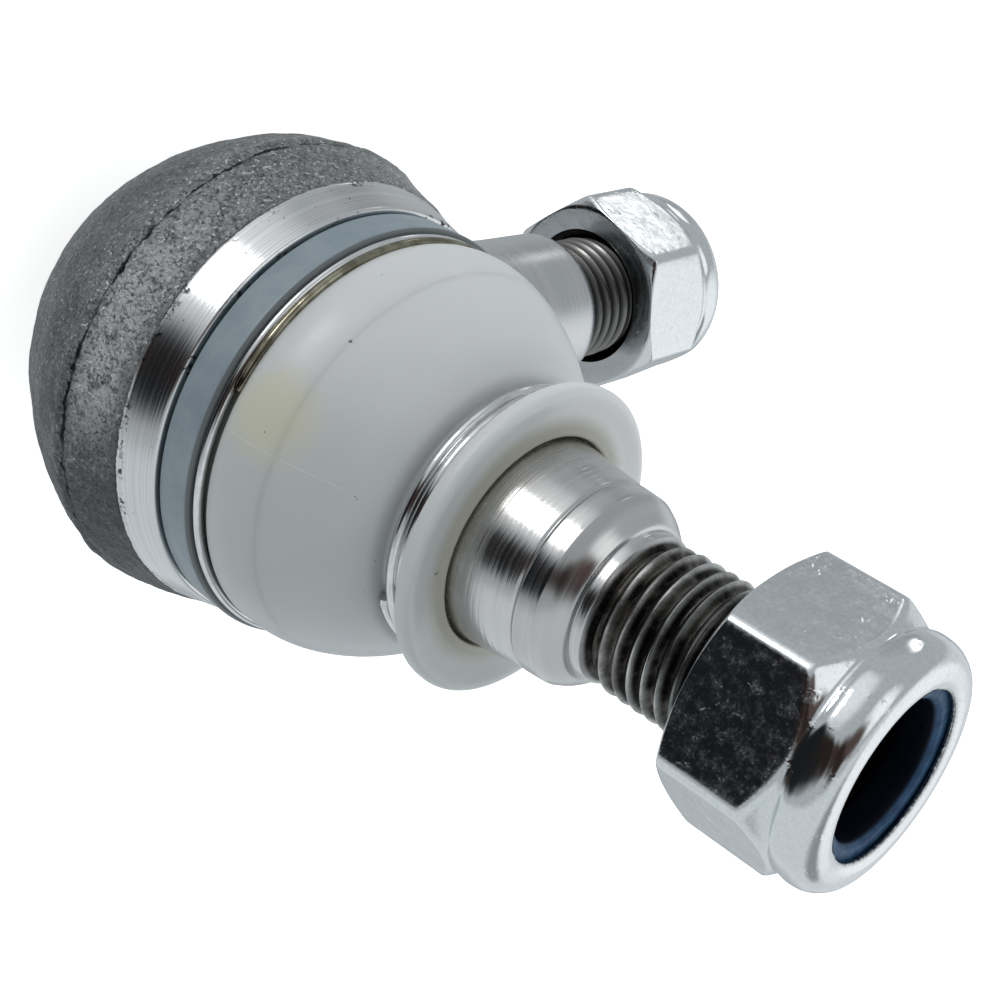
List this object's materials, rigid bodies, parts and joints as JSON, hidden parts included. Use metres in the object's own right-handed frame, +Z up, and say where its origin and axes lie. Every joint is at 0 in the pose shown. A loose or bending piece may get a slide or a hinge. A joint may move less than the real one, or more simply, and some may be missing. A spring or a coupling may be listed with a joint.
{
  "type": "rod end ball joint",
  "caption": "Rod end ball joint: forged housing with threaded shank, swivelling tapered ball stud under a dust boot, and prevailing-torque nuts on stud and shank.",
  "frame": {"origin": "centre of the housing's flat bottom face, on the ball stud's axis", "axes": "+Z up along the ball stud from the housing to the stud nut, +X along the threaded shank"},
  "size_m": [0.0865, 0.0486, 0.0982],
  "materials": {
    "forged_steel": "rough forged skin, turned bright at the mouth",
    "closing_ring": "satin blue-grey coating",
    "seat_polymer": "moulded, greased",
    "spring_steel": "oiled",
    "stud_steel": "fine turned",
    "boot_elastomer": "smooth satin, translucent grey-white",
    "clamp_wire": "bright drawn wire",
    "nut_plating": "bright zinc plating",
    "nylon": "moulded blue nylon"
  },
  "bodies": {
    "housing": {"housing_forging": "forged_steel", "closing_ring": "closing_ring", "lower_ball_seat": "seat_polymer", "upper_ball_seat": "seat_polymer", "preload_disc_spring": "spring_steel", "boot_foot_clamp": "clamp_wire"},
    "boot": {"dust_boot": "boot_elastomer"},
    "boot_collar": {"boot_neck_clamp": "clamp_wire"},
    "stud": {"ball_stud": "stud_steel"},
    "stud_nut_carrier": {"stud_nut_insert": "nylon"},
    "stud_nut": {"stud_nut": "nut_plating"},
    "shank_nut_carrier": {"shank_nut_insert": "nylon"},
    "shank_nut": {"shank_nut": "nut_plating"}
  },
  "joints": [
    {"name": "stud_swing", "type": "hinge", "parent": "housing", "child": "boot", "pos_m": [0, 0, 0.023], "axis": [0, 1, 0], "range_deg": [-18, 18], "deforming": ["dust_boot"]},
    {"name": "stud_swing_side", "type": "hinge", "parent": "boot", "child": "boot_collar", "pos_m": [0, 0, 0.023], "axis": [1, 0, 0], "range_deg": [-18, 18], "deforming": ["dust_boot"]},
    {"name": "stud_spin", "type": "hinge", "parent": "boot_collar", "child": "stud", "pos_m": [0, 0, 0.023], "axis": [0, 0, 1], "continuous": true},
    {"name": "stud_nut_travel", "type": "slide", "parent": "stud", "child": "stud_nut_carrier", "axis": [0, 0, 1], "range_m": [-0.01232, 0.00751], "deforming": ["stud_nut_insert"]},
    {"name": "stud_nut_spin", "type": "hinge", "parent": "stud_nut_carrier", "child": "stud_nut", "pos_m": [0, 0, 0.0838], "axis": [0, 0, 1], "range_deg": [-2952, 1800]},
    {"name": "shank_nut_travel", "type": "slide", "parent": "housing", "child": "shank_nut_carrier", "axis": [1, 0, 0], "range_m": [-0.00541, 0.00751], "deforming": ["shank_nut_insert"]},
    {"name": "shank_nut_spin", "type": "hinge", "parent": "shank_nut_carrier", "child": "shank_nut", "pos_m": [0.0478, 0, 0.023], "axis": [1, 0, 0], "range_deg": [-1296, 1800]}
  ],
  "couplings": [
    {"joint": "stud_nut_travel", "follows": "stud_nut_spin", "m_per_rad": 0.00023873},
    {"joint": "shank_nut_travel", "follows": "shank_nut_spin", "m_per_rad": 0.00023873}
  ]
}
